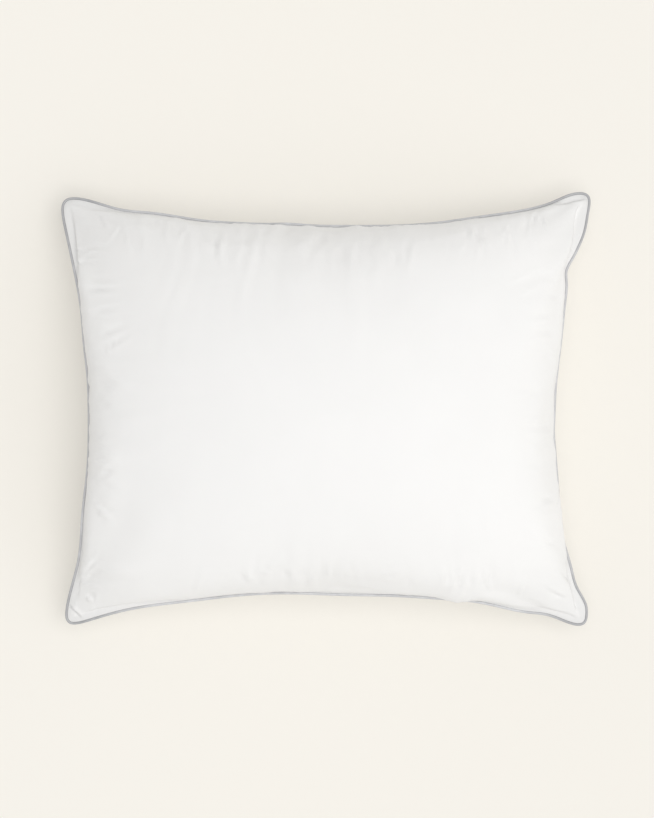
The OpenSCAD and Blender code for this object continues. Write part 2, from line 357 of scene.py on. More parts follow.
def edged(cloth, u, v):
    """The casing with its flat ears, and its bulges out over the piping."""
    for name, axis, end in (("left", 1, 0), ("right", 1, -1), ("bottom", 2, 0), ("top", 2, -1)):
        seam = np.take(first_shape(u, v)[0], [end], axis - 1)
        t = np.gradient(seam[..., :2], axis=2 - axis)
        out = np.stack([t[..., 1], -t[..., 0]], -1) * (1 if name in ("right", "bottom") else -1)
        out /= np.linalg.norm(out, axis=-1, keepdims=True)
        across, s = (u, v) if axis == 1 else (v, u)
        d = (1 - np.abs(across)) * CUT[axis - 1] / 2 / MM
        d = np.where(across * (1 if end else -1) > 0, d, OUT_OF_REACH)
        s = s * CUT[2 - axis] / 2 / MM
        flat_share = sum(
            share * bump(s, at, wide, 4) * (1 - smooth((d - width) / FLAT_FADE))
            for at, wide, share, width in FLAT_EARS[name])
        spilt = sum(far * bump(s, at, wide) for at, wide, far in SPILLS[name])
        bulge = spilt * d / SPILL_PEAK * np.exp(1 - np.minimum(d, SPILL_END) / SPILL_PEAK)
        for panel, up in ((0, 1), (1, -1)):
            flat = np.broadcast_to(seam, cloth[panel].shape).copy()
            flat[..., :2] -= (d * MM)[..., None] * out
            flat[..., 2] += FLAT_RISE * up * d * MM
            cloth[panel] += flat_share[..., None] * (flat - cloth[panel])
        cloth[0][..., :2] += (bulge * MM)[..., None] * out
    return on_seam(cloth, u, v)


# ---- creases ----
# the small puckers that the seam draws up: spacing, length inward, height, mm
PUCKERS = [(8, 34, 1.0), (14, 70, 2.0), (26, 105, 2.6)]
QUIET = {"left": 0.45, "right": 0.3, "top": 0.5, "bottom": 0.2}  # their height elsewhere
# where they are drawn up: (place along the side, half width, share), mm
GATHERS = {
    "left": [(130, 45, 0.4), (28, 30, 0.8), (-62, 32, 0.8), (-180, 30, 0.4)],
    "right": [(-22, 16, 0.7), (-62, 18, 0.5), (-100, 16, 0.9)],
    "top": [(-100, 48, 0.9), (-30, 22, 0.6), (52, 52, 1.2), (155, 20, 0.5)],
    "bottom": [(-25, 30, 0.6), (150, 30, 1.3)],
}
# the folds that stand out on the top panel: x, y, heading in degrees, length, half width, height, mm
FOLDS = [
    (-250, 50, -3, 54, 3.0, 0.6), (-250, 38, -28, 50, 3.2, 0.9), (-249, 28, -30, 36, 3.0, 0.8),
    (-250, 9, -8, 26, 3.0, 0.9), (-250, -48, -22, 30, 3.0, 0.8), (-250, -71, 32, 34, 3.0, 0.8),
    (-249, -78, -21, 36, 3.0, 0.6), (248, -23, 174, 32, 3.0, 0.7), (250, -98, -168, 27, 3.0, 1.0),
    (22, 186, -90, 56, 2.4, 0.45), (94, 190, -103, 56, 3.0, 0.7), (50, 184, -94, 28, 2.6, 0.5),
    (36, 186, -84, 44, 2.6, 0.5), (66, 188, -98, 34, 2.6, 0.5), (80, 176, -96, 30, 2.4, 0.5),
    (-96, 188, -80, 36, 3.0, 0.6), (-140, 190, -84, 28, 3.0, 0.5), (158, 198, -113, 24, 2.6, 0.6),
    (-118, 190, -94, 30, 2.6, 0.5), (-70, 186, -88, 34, 2.6, 0.5),
    (136, -203, 66, 36, 3.0, 0.9), (153, -200, 90, 30, 2.6, 0.8), (166, -196, 84, 28, 2.4, 0.7),
    (177, -196, 98, 32, 2.8, 0.8), (270, -195, 134, 32, 3.0, 0.8), (-276, 161, 18, 17, 2.6, 0.9),
    (-252, 214, -56, 26, 3.0, 0.6), (-266, -176, 44, 30, 2.6, 0.5), (-268, -188, 40, 34, 2.6, 0.5),
    (191, 131, 25, 72, 4.0, 0.35), (205, 118, 28, 50, 3.5, 0.3), (-266, -206, -10, 14, 3.0, -1.0),
]
BOLD = 1.8  # how much higher all folds stand than their numbers say
SMALL_FOLDS = 150  # on each panel
TIP_FOLD = (-286, -216, -36, 27, 1.9, 1.5, 4)  # the sharp, bent crease across the bottom left tip
FOLD_FADE = 8 * MM  # the folds rise from nothing at the seam within this distance
CRUMPLE = 0.08  # height of the facets of stiff cotton, mm


def gathering(name, s):
    """How strongly the seam gathers the cloth at the place s along a side, mm from its middle."""
    return QUIET[name] + sum(gain * bump(s, at, wide) for at, wide, gain in GATHERS[name])


def short_of_tips(s):
    """1 along a side, falling to 0 just short of its tips: s from -1 to 1."""
    return smooth((0.97 - np.abs(s)) / 0.3)


def wander(s, d, size, random):
    """A smooth random shift of places (s, d), from about -1 to 1."""
    total = np.zeros(np.broadcast(s, d).shape)
    for _ in range(6):
        turn, phase = random.uniform(0, math.tau, 2)
        total += np.sin((s * math.cos(turn) + d * math.sin(turn)) / size * random.uniform(0.6, 1.6) + phase)
    return total / 3


def pucker_row(s, d, half, spacing, length, height, random):
    """Round ridges with sharp valleys between them, at right angles to a side: s along it, d from it, mm.

    The valleys lie unevenly and bend, and the ridges differ in height and in how far they reach inward.
    """
    count = int(3 * half / spacing)
    valleys = np.cumsum(spacing * random.uniform(0.5, 1.5, count)) - 1.5 * half
    tall = random.uniform(0.1, 1, count) ** 1.5
    reach = length * random.uniform(0.5, 1.4, count)
    s = s + 0.7 * spacing * wander(s, d, 1.6 * spacing, random) * smooth(d / spacing)
    k = np.clip(np.searchsorted(valleys, s) - 1, 0, count - 2)
    t = np.clip((s - valleys[k]) / (valleys[k + 1] - valleys[k]), 0, 1)
    ridge = np.sin(np.pi * t) ** 0.8
    fade = smooth(d / (0.8 * spacing)) * np.exp(-(d / reach[k]) ** 2)
    return height * tall[k] * ridge * fade * (0.65 + 0.35 * wander(d, s, 12, random))


def puckers(u, v, random):
    """Height of the puckers of one panel, mm."""
    total = np.zeros_like(u)
    sides = {"left": (v, 1 + u, 1), "right": (v, 1 - u, 1), "bottom": (u, 1 + v, 0), "top": (u, 1 - v, 0)}
    for name, (s, d, axis) in sides.items():
        half = CUT[axis] / 2 / MM
        share = gathering(name, s * half) * short_of_tips(s)
        s, d = s * half, d * CUT[1 - axis] / 2 / MM
        for spacing, length, height in PUCKERS:
            total += share * pucker_row(s, d, half, spacing, length, height, random)
    return total


def crease(sheet, fold):
    """Height of one fold of a panel, mm: a ridge with a valley beside it, wider at its inner end."""
    x, y, heading, length, wide, height, *bend = fold
    turn = math.radians(heading)
    dx, dy = sheet[..., 0] / MM - x, sheet[..., 1] / MM - y
    along = (dx * math.cos(turn) + dy * math.sin(turn)) / length
    across = dy * math.cos(turn) - dx * math.sin(turn)
    across = across + (bend[0] if bend else 0) * along ** 2
    wide = wide * (0.6 + 0.8 * np.clip(along, 0, 1))
    shape = np.exp(-((across - 0.7 * wide) / wide) ** 2) - np.exp(-((across + 0.7 * wide) / wide) ** 2)
    return BOLD * height * shape * smooth(along * 3) * smooth((1 - along) * 1.3)


def small_folds(count, random):
    """Random short folds that head in from the seam, more of them where it gathers the cloth."""
    made = []
    headings = {"left": 0, "right": 180, "bottom": 90, "top": -90}
    while len(made) < count:
        name = str(random.choice(list(headings)))
        upright = name in ("left", "right")
        half = (TIP_Y if upright else TIP_X) / MM
        s = random.uniform(-0.9, 0.9)
        heading, start = headings[name] + random.normal(0, 13), random.uniform(0, 16)
        length, wide, height = random.uniform(16, 52), random.uniform(1.6, 3.0), random.uniform(0.2, 0.85)
        if random.uniform(0, 1.5) > gathering(name, s * half) * short_of_tips(s):
            continue
        x, y = (float(c) / MM for c in plan(*{
            "left": (-1, s), "right": (1, s), "bottom": (s, -1), "top": (s, 1)}[name]))
        turn = math.radians(headings[name])
        made.append((x + start * math.cos(turn), y + start * math.sin(turn), heading, length, wide,
                     height * random.choice((-1, 1)), random.uniform(-0.2, 0.2) * length))
    return made


def allowance_ridge(u, v, random):
    """Height of the step where a panel lies on its allowance, mm: plain at the tips, faint elsewhere."""
    dx, dy = (1 - np.abs(u)) * CUT[0] / 2 / MM, (1 - np.abs(v)) * CUT[1] / 2 / MM
    blunt, tip_size = 5, 50
    d = -blunt * np.log(np.exp(-dx / blunt) + np.exp(-dy / blunt)) + wander(dx, dy, 9, random)
    patchy = 0.6 + 0.4 * wander(dx + 300 * u, dy + 200 * v, 25, random)
    near_tip = np.exp(-(np.maximum(dx, dy) / tip_size) ** 2) * patchy
    width = (ALLOWANCE + FOLD_R) / MM
    return (0.1 + 0.6 * near_tip) * smooth((d + 2) / 4) * smooth((width + 2.5 - d) / 3)


def crumples(shape, random):
    """Faint flat facets of stiff cotton all over, of mean 0 and spread 1, from waves with sharp valleys."""
    total = np.zeros(shape)
    x, y = np.meshgrid(*(np.linspace(0, 1, n) for n in shape), indexing="ij")
    for _ in range(26):
        angle, phase = random.uniform(0, math.tau, 2)
        pitch = random.uniform(4, 14)
        wave = math.tau * pitch * (x * math.cos(angle) + y * math.sin(angle)) + phase
        total += np.abs(np.sin(wave + 1.5 * np.sin(0.4 * wave[::-1]))) / pitch
    return (total - total.mean()) / total.std()


def creased(cloth, u, v):
    """The casing with its puckers, folds and the marks of the allowances."""
    random = np.random.default_rng(21)
    out_of = face_normals_of(cloth)
    edge = smooth(from_seam(u, v) / FOLD_FADE)
    for panel in (0, 1):
        height = puckers(u, v, random) + allowance_ridge(u, v, random)
        height = height + CRUMPLE * edge * crumples(u.shape, random)
        folds = small_folds(SMALL_FOLDS, random) + (FOLDS if panel == 0 else [])
        height = height + sum(crease(cloth[panel], fold) for fold in folds) * edge
        if panel == 0:
            height = height + crease(cloth[0], TIP_FOLD)
        cloth[panel] += height[..., None] * MM * out_of[panel]
    cloth[1, ..., 2] = np.maximum(cloth[1, ..., 2], 0)
    return on_seam(cloth, u, v)


# ---- round the seam ----
def round_edge(grid):
    """The edge points of [i, j, ...], anticlockwise from the bottom left corner."""
    return np.concatenate([grid[:-1, 0], grid[-1, :-1], grid[:0:-1, -1], grid[0, :0:-1]])


def loop_tangents(points):
    """Unit tangents along a closed line."""
    t = np.roll(points, -1, 0) - np.roll(points, 1, 0)
    return t / np.linalg.norm(t, axis=1, keepdims=True)


OUTWARD = np.array([1 / TIP_X, 1 / TIP_Y, 0])  # times a place: the way out from the middle, 1 long at a side


class Seam:
    """The seam's points with their outward directions, and places in its section: a outward, h up."""

    def __init__(self, cloth, u, v):
        self.points = round_edge(cloth[0])
        self.u, self.v = round_edge(u), round_edge(v)
        t = loop_tangents(self.points)
        t /= np.linalg.norm(t[:, :2], axis=1, keepdims=True)
        self.out = np.stack([t[:, 1], -t[:, 0], np.zeros(len(t))], 1)
        self.slope = t[:, 2:]
        steps = np.linalg.norm(np.roll(self.points, -1, 0) - self.points, axis=1)
        self.along = np.concatenate([[0], np.cumsum(steps)])

    def at(self, a, h):
        """The points (a, h) of the section, all the way round."""
        return self.moved(self.points, self.out, self.slope, a, h)

    def place(self, s, a, h):
        """One point or many at distance s along the seam."""
        s = np.mod(s, self.along[-1])
        found = (
            np.stack([np.interp(s, self.along, np.append(x, x[0])) for x in line.T], -1)
            for line in (self.points, self.out, self.slope))
        return self.moved(*found, a, h)

    @staticmethod
    def moved(spot, out, slope, a, h):
        """Outward and up; allowances are drawn towards the middle instead, so they do not cross at the tips."""
        a = np.broadcast_to(a, spot.shape[:-1])[..., None]
        h = np.broadcast_to(h, spot.shape[:-1])[..., None]
        to_middle = spot * OUTWARD
        slide = to_middle[..., 1] * out[..., 0] - to_middle[..., 0] * out[..., 1]
        to_middle[..., 2] = slide * slope[..., 0]
        return spot + a * np.where(a < TO_MIDDLE, to_middle, out) + h * np.array([0, 0, 1])


# ---- meshes ----
def new_object(name, vertices, faces, material, uv=None):
    mesh = bpy.data.meshes.new(name)
    mesh.from_pydata(np.asarray(vertices).tolist(), [], [list(map(int, f)) for f in faces])
    mesh.update()
    for p in mesh.polygons:
        p.use_smooth = True
    if uv is not None:
        layer = mesh.uv_layers.new(name="cloth")
        order = np.empty(len(mesh.loops), int)
        mesh.loops.foreach_get("vertex_index", order)
        layer.data.foreach_set("uv", np.asarray(uv, float)[order].ravel())
    mesh.materials.append(material)
    thing = bpy.data.objects.new(name, mesh)
    bpy.context.scene.collection.objects.link(thing)
    return thing


def quads(index):
    """The faces of a grid of point numbers, facing up."""
    return np.stack([index[:-1, :-1], index[1:, :-1], index[1:, 1:], index[:-1, 1:]], -1).reshape(-1, 4)


def bands(rows):
    """Faces between closed rows of point numbers, the upper one first, facing outward."""
    made = []
    for upper, lower in zip(rows[:-1], rows[1:]):
        made.append(np.stack([upper, lower, np.roll(lower, -1), np.roll(upper, -1)], -1))
    return np.concatenate(made)


def arc(middle, r, start, end, steps):
    """Points (a, h) of an arc, from one angle to another, degrees."""
    t = np.radians(np.linspace(start, end, steps + 1))
    return [(middle[0] + r * math.cos(x), middle[1] + r * math.sin(x)) for x in t]


def apply_modifiers(thing):
    """Swaps the mesh for what its modifiers make of it."""
    evaluated = thing.evaluated_get(bpy.context.evaluated_depsgraph_get())
    mesh = bpy.data.meshes.new_from_object(evaluated)
    thing.modifiers.clear()
    thing.data = mesh
    for p in mesh.polygons:
        p.use_smooth = True


def dress(thing, node):
    """Puts a piece on the one body, in place of its CAD node."""
    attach(thing, "root")
    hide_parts(node)


# ---- materials ----
def principled(name, colour, roughness, **sockets):
    material = bpy.data.materials.new(name)
    material.use_nodes = True
    shader = material.node_tree.nodes["Principled BSDF"]
    shader.inputs["Base Color"].default_value = (*colour, 1)
    shader.inputs["Roughness"].default_value = roughness
    for socket, value in sockets.items():
        shader.inputs[socket.replace("_", " ")].default_value = value
    return material, material.node_tree, shader


def node(tree, kind, inputs=None, **settings):
    """A new shader node; an input is a value or another node's output."""
    made = tree.nodes.new(kind)
    for name, value in settings.items():
        setattr(made, name, value)
    for name, value in (inputs or {}).items():
        if isinstance(value, bpy.types.NodeSocket):
            tree.links.new(value, made.inputs[name])
        else:
            made.inputs[name].default_value = value
    return made


def maths(tree, operation, a, b=0.0):
    return node(tree, "ShaderNodeMath", {0: a, 1: b}, operation=operation).outputs[0]


def weave(tree, place, pitch):
    """A plain weave's height from 0 to 1: warp over weft, then weft over warp."""
    split = node(tree, "ShaderNodeSeparateXYZ", {0: place})
    turn = math.tau / (2 * pitch)
    across = maths(tree, "MULTIPLY", split.outputs[0], turn)
    along = maths(tree, "MULTIPLY", split.outputs[1], turn)
    warp = maths(tree, "MULTIPLY", maths(tree, "SINE", across), maths(tree, "COSINE", along))
    weft = maths(tree, "MULTIPLY", maths(tree, "COSINE", across), maths(tree, "SINE", along))
    return maths(tree, "MAXIMUM", maths(tree, "ABSOLUTE", warp), maths(tree, "ABSOLUTE", weft))


def ramp(tree, factor, low, high):
    """A colour that runs from one to another: each is (position, colour)."""
    made = node(tree, "ShaderNodeValToRGB", {"Fac": factor})
    for element, (position, colour) in zip(made.color_ramp.elements, (low, high)):
        element.position = position
        element.color = (*colour, 1)
    return made.outputs[0]


def noise(tree, place, scale, detail, **more):
    inputs = {"Vector": place, "Scale": scale, "Detail": detail, **more}
    return node(tree, "ShaderNodeTexNoise", inputs).outputs[0]


def ranged(tree, value, low, high, start=0.0, end=1.0):
    """A value that goes from low to high while another goes from start to end, and no further."""
    return node(tree, "ShaderNodeMapRange", {
        "Value": value, "From Min": start, "From Max": end, "To Min": low, "To Max": high}).outputs[0]


def darkened(tree, colour, value):
    return node(tree, "ShaderNodeHueSaturation", {"Value": value, "Color": colour}).outputs[0]


def relief(tree, shader, height, strength, distance):
    """Lets a height mark the surface."""
    made = node(tree, "ShaderNodeBump", {"Height": height, "Strength": strength, "Distance": distance})
    tree.links.new(made.outputs[0], shader.inputs["Normal"])


def cotton_material():
    """Down-proof cotton: a very fine tight weave, slubs and a soft sheen.

    The grey tape shows through it a little, and it is painted a little darker towards each tip: painted shade
    on the tips.
    """
    material, tree, shader = principled(
        "white_cotton", (0.87, 0.865, 0.85), 0.82,
        Sheen_Weight=0.18, Sheen_Roughness=0.45, Specular_IOR_Level=0.3)
    shader.inputs["Sheen Tint"].default_value = (1, 1, 1, 1)
    place = node(tree, "ShaderNodeUVMap", uv_map="cloth").outputs[0]
    threads = weave(tree, place, 0.32 * MM)
    slubs = noise(tree, place, 900.0, 3.0)
    tone = ramp(tree, noise(tree, place, 14.0, 4.0), (0.3, (0.868, 0.866, 0.86)), (0.7, (0.88, 0.878, 0.872)))
    split = node(tree, "ShaderNodeSeparateXYZ", {0: place})
    from_edge = [
        maths(tree, "SUBTRACT", half, maths(tree, "ABSOLUTE", side_on))
        for half, side_on in zip((CUT / 2).tolist(), split.outputs)]
    over_tape = ranged(
        tree, maths(tree, "MINIMUM", *from_edge), 0.95, 1.0, ALLOWANCE - 1.5 * MM, ALLOWANCE + 1.5 * MM)
    squares = [maths(tree, "POWER", d, 2.0) for d in from_edge]
    from_corner = maths(tree, "SQRT", maths(tree, "ADD", *squares))
    # painted shade: the cloth is darker towards each of the four tips, most within 15 mm of a corner and none
    # past 110 mm
    tip_painted_shade = ranged(tree, from_corner, 0.92, 1.0, 15 * MM, 110 * MM)
    shown = darkened(tree, tone, maths(tree, "MULTIPLY", over_tape, tip_painted_shade))
    tree.links.new(shown, shader.inputs["Base Color"])
    tree.links.new(ranged(tree, slubs, 0.74, 0.9), shader.inputs["Roughness"])
    height = maths(tree, "ADD", threads, maths(tree, "MULTIPLY", slubs, 0.6))
    relief(tree, shader, height, strength=0.35, distance=0.06 * MM)
    return material


def satin_material():
    """Silver-grey satin cut on the bias: slanting ribs, a soft gloss, and painted shade that darkens it at the
    tips, where it gathers.
    """
    material, tree, shader = principled(
        "silver_satin", (0.62, 0.625, 0.64), 0.38,
        Specular_IOR_Level=0.6, Sheen_Weight=0.25, Sheen_Roughness=0.35)
    place = node(tree, "ShaderNodeUVMap", uv_map="cloth").outputs[0]
    turned = node(tree, "ShaderNodeMapping", {"Vector": place, "Rotation": (0, 0, math.radians(45))})
    ribs = node(tree, "ShaderNodeTexWave", {
        "Vector": turned.outputs[0], "Scale": 420.0, "Distortion": 0.6, "Detail": 1.0})
    uneven = noise(tree, place, 90.0, 4.0)
    tone = ramp(tree, uneven, (0.3, (0.52, 0.525, 0.54)), (0.72, (0.64, 0.645, 0.66)))
    middle_out = node(tree, "ShaderNodeVectorMath", {
        0: node(tree, "ShaderNodeTexCoord").outputs["Object"]}, operation="LENGTH").outputs["Value"]
    # painted shade: the piping is darker the further it lies from the middle, that is towards the tips
    shown = darkened(tree, tone, ranged(tree, middle_out, 1.0, 0.72, 0.31, 0.355))
    tree.links.new(shown, shader.inputs["Base Color"])
    height = maths(tree, "ADD", ribs.outputs[1], maths(tree, "MULTIPLY", uneven, 1.5))
    relief(tree, shader, height, strength=0.4, distance=0.08 * MM)
    return material


def fibre_material(name, colour, pitch, sheen, roughness=0.7):
    """Spun thread, cord or down: fine fibres with a little unevenness."""
    material, tree, shader = principled(name, colour, roughness, Sheen_Weight=sheen, Sheen_Roughness=0.4)
    place = node(tree, "ShaderNodeTexCoord").outputs["Object"]
    fibres = noise(tree, place, 1 / pitch, 5.0, Roughness=0.6)
    tone = ramp(tree, fibres, (0.25, [0.8 * c for c in colour]), (0.65, colour))
    tree.links.new(tone, shader.inputs["Base Color"])
    relief(tree, shader, fibres, strength=0.5, distance=0.3 * pitch)
    return material


def ribbon_material():
    """Plain white woven ribbon."""
    material, tree, shader = principled("white_ribbon", (0.86, 0.86, 0.86), 0.5, Sheen_Weight=0.2)
    place = node(tree, "ShaderNodeUVMap", uv_map="cloth").outputs[0]
    threads = weave(tree, place, 0.25 * MM)
    # painted shade: the ribbon is darker where its weave is low, between the threads
    tone = ramp(tree, threads, (0, (0.78, 0.78, 0.785)), (1, (0.88, 0.88, 0.875)))
    tree.links.new(tone, shader.inputs["Base Color"])
    relief(tree, shader, threads, strength=0.5, distance=0.05 * MM)
    return material


def floor_material():
    """Pale matt floor with a faint grain, lit a little from behind so that its shadows stay light."""
    material, tree, shader = principled(
        "pale_floor", (0.67, 0.65, 0.606), 0.9, Specular_IOR_Level=0.1, Emission_Strength=0.2)
    shader.inputs["Emission Color"].default_value = (1.0, 0.97, 0.91, 1)
    place = node(tree, "ShaderNodeTexCoord").outputs["Object"]
    relief(tree, shader, noise(tree, place, 60.0, 3.0), strength=0.05, distance=0.1 * MM)
    return material


# ---- pieces ----
PARTED = 10 * MM  # how far in the two panels are still parted by the allowances


def over_allowances(cloth, seam, u, v):
    """Parts the two panels at the seam, where the turned edges and the tape lie between them."""
    n, m = np.array(cloth.shape[1:3]) - 1
    near = 1 / (1 + (from_seam(u, v) / PARTED) ** 2)
    toward = np.stack([u, v, np.zeros_like(u)], -1) ** 15  # a high odd power picks the nearest side
    toward = toward / np.maximum(np.linalg.norm(toward, axis=-1, keepdims=True), 1e-9)
    out = cloth.copy()
    for panel, up in ((0, 1), (1, -1)):
        shift = -FOLD_R * toward + np.array([0, 0, up * PANEL_H])
        out[panel] += near[..., None] * shift
        ring = seam.at(-FOLD_R, up * PANEL_H)
        out[panel][:-1, 0] = ring[:n]
        out[panel][-1, :-1] = ring[n:n + m]
        out[panel][:0:-1, -1] = ring[n + m:2 * n + m]
        out[panel][0, :0:-1] = ring[2 * n + m:]
    return out


def make_panel(name, sheet, up, seam, u, v, material):
    """A panel with its turned edge and its flat allowance, given its thickness inward."""
    uv = np.stack([u * CUT[0] / 2, v * CUT[1] / 2], -1)
    index = np.arange(u.size).reshape(u.shape)
    section = arc((-FOLD_R, FOLD_H), FOLD_R, 60, -90, 5)
    section += [(a, TAPE_THICK) for a in (-3.2 * MM, -6 * MM, RAW_EDGE)]
    vertices, uvs, rows = [sheet.reshape(-1, 3)], [uv.reshape(-1, 2)], [round_edge(index)]
    rim_uv = round_edge(uv)
    count = u.size
    for k, (a, h) in enumerate(section):
        vertices.append(seam.at(a, up * h))
        uvs.append(rim_uv + seam.out[:, :2] * (k + 1) * MM)
        rows.append(count + np.arange(len(rim_uv)))
        count += len(rim_uv)
    faces = np.concatenate([quads(index), bands(rows)])
    if up < 0:
        faces = faces[:, ::-1]
    panel = new_object(name, np.concatenate(vertices), faces, material, np.concatenate(uvs))
    shell = panel.modifiers.new("thickness", "SOLIDIFY")
    shell.thickness = PANEL_THICK
    shell.offset = -1
    apply_modifiers(panel)
    return panel


def round_faces(index, after):
    """Faces between each ring of point numbers and the one after it."""
    return np.stack([index, np.roll(index, -1, 1), np.roll(after, -1, 1), after], -1).reshape(-1, 4)


def sweep(name, seam, section, material):
    """A closed section taken all the way round the seam; the section is a list of (a, h)."""
    n, count = len(section), len(seam.points)
    vertices = np.stack([seam.at(a, h) for a, h in section], 1).reshape(-1, 3)
    index = np.arange(count * n).reshape(count, n)
    faces = round_faces(index, np.roll(index, -1, 0))
    girth = np.cumsum([0] + [math.dist(section[k], section[k + 1]) for k in range(n - 1)])
    uv = np.stack(np.broadcast_arrays(seam.along[:-1, None], girth[None, :]), -1).reshape(-1, 2)
    return new_object(name, vertices, faces, material, uv)


def make_tape(seam, material):
    """The bias tape round the cord, whose two layers run back between the allowances."""
    lip = math.degrees(math.asin(TAPE_THICK / BEAD_R))
    inner = CORD_R + 0.05 * MM
    slit = 0.03 * MM  # half the gap between the two layers
    mouth = math.degrees(math.asin(slit / inner))
    halfway = -4 * MM
    section = [(RAW_EDGE, -slit), (RAW_EDGE, -TAPE_THICK), (halfway, -TAPE_THICK)]
    section += arc((BEAD_A, 0), BEAD_R, -180 + lip, 180 - lip, 17)
    section += [(halfway, TAPE_THICK), (RAW_EDGE, TAPE_THICK), (RAW_EDGE, slit)]
    section += arc((BEAD_A, 0), inner, 180 - mouth, -180 + mouth, 11)
    return sweep("piping_tape", seam, section, material)


def make_cord(seam, material):
    """Three strands laid round each other."""
    strands, sides, lay, rings_a_turn = 3, 7, 9 * MM, 10
    strand_r = CORD_R * 0.46
    total = seam.along[-1]
    turns = round(total / lay)
    count = turns * rings_a_turn
    s = np.arange(count) * total / count
    vertices, faces = [], []
    for strand in range(strands):
        angle = math.tau * (s / total * turns + strand / strands)
        lay_r = CORD_R - strand_r
        start = len(vertices) * count * sides
        ring = []
        for k in range(sides):
            around = math.tau * k / sides
            a = BEAD_A + lay_r * np.cos(angle) + strand_r * np.cos(around)
            h = lay_r * np.sin(angle) + strand_r * np.sin(around)
            ring.append(seam.place(s, a, h))
        vertices.append(np.stack(ring, 1).reshape(-1, 3))
        index = start + np.arange(count * sides).reshape(count, sides)
        faces.append(round_faces(index, np.roll(index, -1, 0)))
    return new_object("piping_cord", np.concatenate(vertices), np.concatenate(faces), material)


def tube(points, radius, sides=5, closed=False):
    """Vertices and faces of a thread along points."""
    points = np.asarray(points, float)
    if closed:
        t = loop_tangents(points)
    else:
        t = np.gradient(points, axis=0)
        t /= np.maximum(np.linalg.norm(t, axis=1, keepdims=True), 1e-12)
    helper = np.where(np.abs(t[:, 2:3]) > 0.9, [[1.0, 0, 0]], [[0, 0, 1.0]])
    b = np.cross(t, helper)
    b /= np.linalg.norm(b, axis=1, keepdims=True)
    n = np.cross(b, t)
    around = np.arange(sides) * math.tau / sides
    radius = np.broadcast_to(radius, len(points))
    rings = points[:, None] + radius[:, None, None] * (
        np.cos(around)[None, :, None] * b[:, None] + np.sin(around)[None, :, None] * n[:, None])
    index = np.arange(len(points) * sides).reshape(-1, sides)
    first, after = (index, np.roll(index, -1, 0)) if closed else (index[:-1], index[1:])
    faces = [tuple(f) for f in round_faces(first, after)]
    if not closed:
        faces += [tuple(index[0][::-1]), tuple(index[-1])]
    return rings.reshape(-1, 3), faces


def joined(name, tubes, material):
    """One object of many tubes."""
    vertices, faces, count = [], [], 0
    for v, f in tubes:
        vertices.append(v)
        faces += [tuple(i + count for i in face) for face in f]
        count += len(v)
    return new_object(name, np.concatenate(vertices), faces, material)


STITCH_R = 0.19 * MM
STITCH_PITCH = 2.8 * MM
STITCH_A = -FOLD_R - 0.35 * MM  # the row of stitches, just inside the turned edges


def make_lockstitch(name, up, seam, material):
    """One side of the lockstitch: a row of short stitches that dip into the cloth at each end."""
    total = seam.along[-1]
    count = round(total / STITCH_PITCH)
    pitch = total / count
    high = TAPE_THICK + PANEL_THICK + STITCH_R
    share = np.linspace(0.04, 0.96, 6)
    rise = np.array([-0.18, 0.02, 0.05, 0.05, 0.02, -0.18]) * MM
    radius = STITCH_R * np.array([0.55, 0.95, 1, 1, 0.95, 0.55])
    tubes = []
    for k in range(count):
        spot = seam.place((k + share) * pitch, np.full(len(share), STITCH_A), up * (high + rise))
        tubes.append(tube(spot, radius))
    return joined(name, tubes, material)


def make_overlock(seam, material):
    """Loops round the raw edges: across the top, over the edge and back across the underside."""
    total = seam.along[-1]
    count = round(total / (2.6 * MM))
    pitch = total / count
    radius, clear = 0.11 * MM, 0.12 * MM
    face = TAPE_THICK + PANEL_THICK + clear
    edge = RAW_EDGE - clear
    near, deep = edge + 1.2 * MM, RAW_EDGE + 3.2 * MM
    loop = [(0.0, edge, face), (0.12, near, face), (0.3, deep, face), (0.42, deep, face), (0.5, near, face),
            (0.56, edge, face), (0.6, edge, -face), (0.66, near, -face), (0.78, deep, -face),
            (0.88, deep, -face), (0.96, near, -face), (0.99, edge, -face)]
    share, a, h = (np.array(x) for x in zip(*loop))
    s = ((np.arange(count)[:, None] + share[None, :]) * pitch).ravel()
    points = seam.place(s, np.tile(a, count), np.tile(h, count))
    return joined("overlock_thread", [tube(points, radius, closed=True)], material)


def make_closing(seam, material):
    """Slip stitches in the groove under the piping, along the middle of the back side."""
    back = np.where(seam.v > 0.999)[0]
    middle = seam.along[back[np.argmin(np.abs(seam.u[back]))]]
    length, pitch, radius = 200 * MM, 5 * MM, 0.17 * MM
    out, under = 0.19 * MM, FOLD_H + 0.3 * MM
    tubes = []
    share = np.linspace(0, 1, 7)
    sink = np.array([-0.35, -0.1, 0, 0.04, 0, -0.1, -0.35]) * MM
    for k in range(int(length / pitch)):
        s = middle - length / 2 + (k + 0.1 + 0.8 * share) * pitch
        slant = (share - 0.5) * 0.35 * MM
        spot = seam.place(s, out + slant, -(under + sink))
        tubes.append(tube(spot, radius))
    return joined("closing_thread", tubes, material)


def tufts_of(shape, random):
    """Random tufts of spread 1, softened twice."""
    bumps = random.normal(0, 1, shape)
    for _ in range(2):
        bumps = (bumps + np.roll(bumps, 1, 0) + np.roll(bumps, -1, 0)
                 + np.roll(bumps, 1, 1) + np.roll(bumps, -1, 1)) / 5
    return bumps / bumps.std()


FILL_ROWS = 18  # cells of the cloth that the filling stays away from the seam
FILL_DEPTH = PANEL_THICK + 1.6 * MM  # below the panel's outside
FILL_SHARE = 0.35  # at most this share of the way to the other panel
TUFT = 0.6 * MM  # height of the tufts
FILL_FLOOR = PANEL_THICK + 0.4 * MM
GROOVE_A = RAW_EDGE - 10 * MM  # the groove's bottom, outward from the seam
GROOVE_H = 1.2 * MM  # half the groove's width there


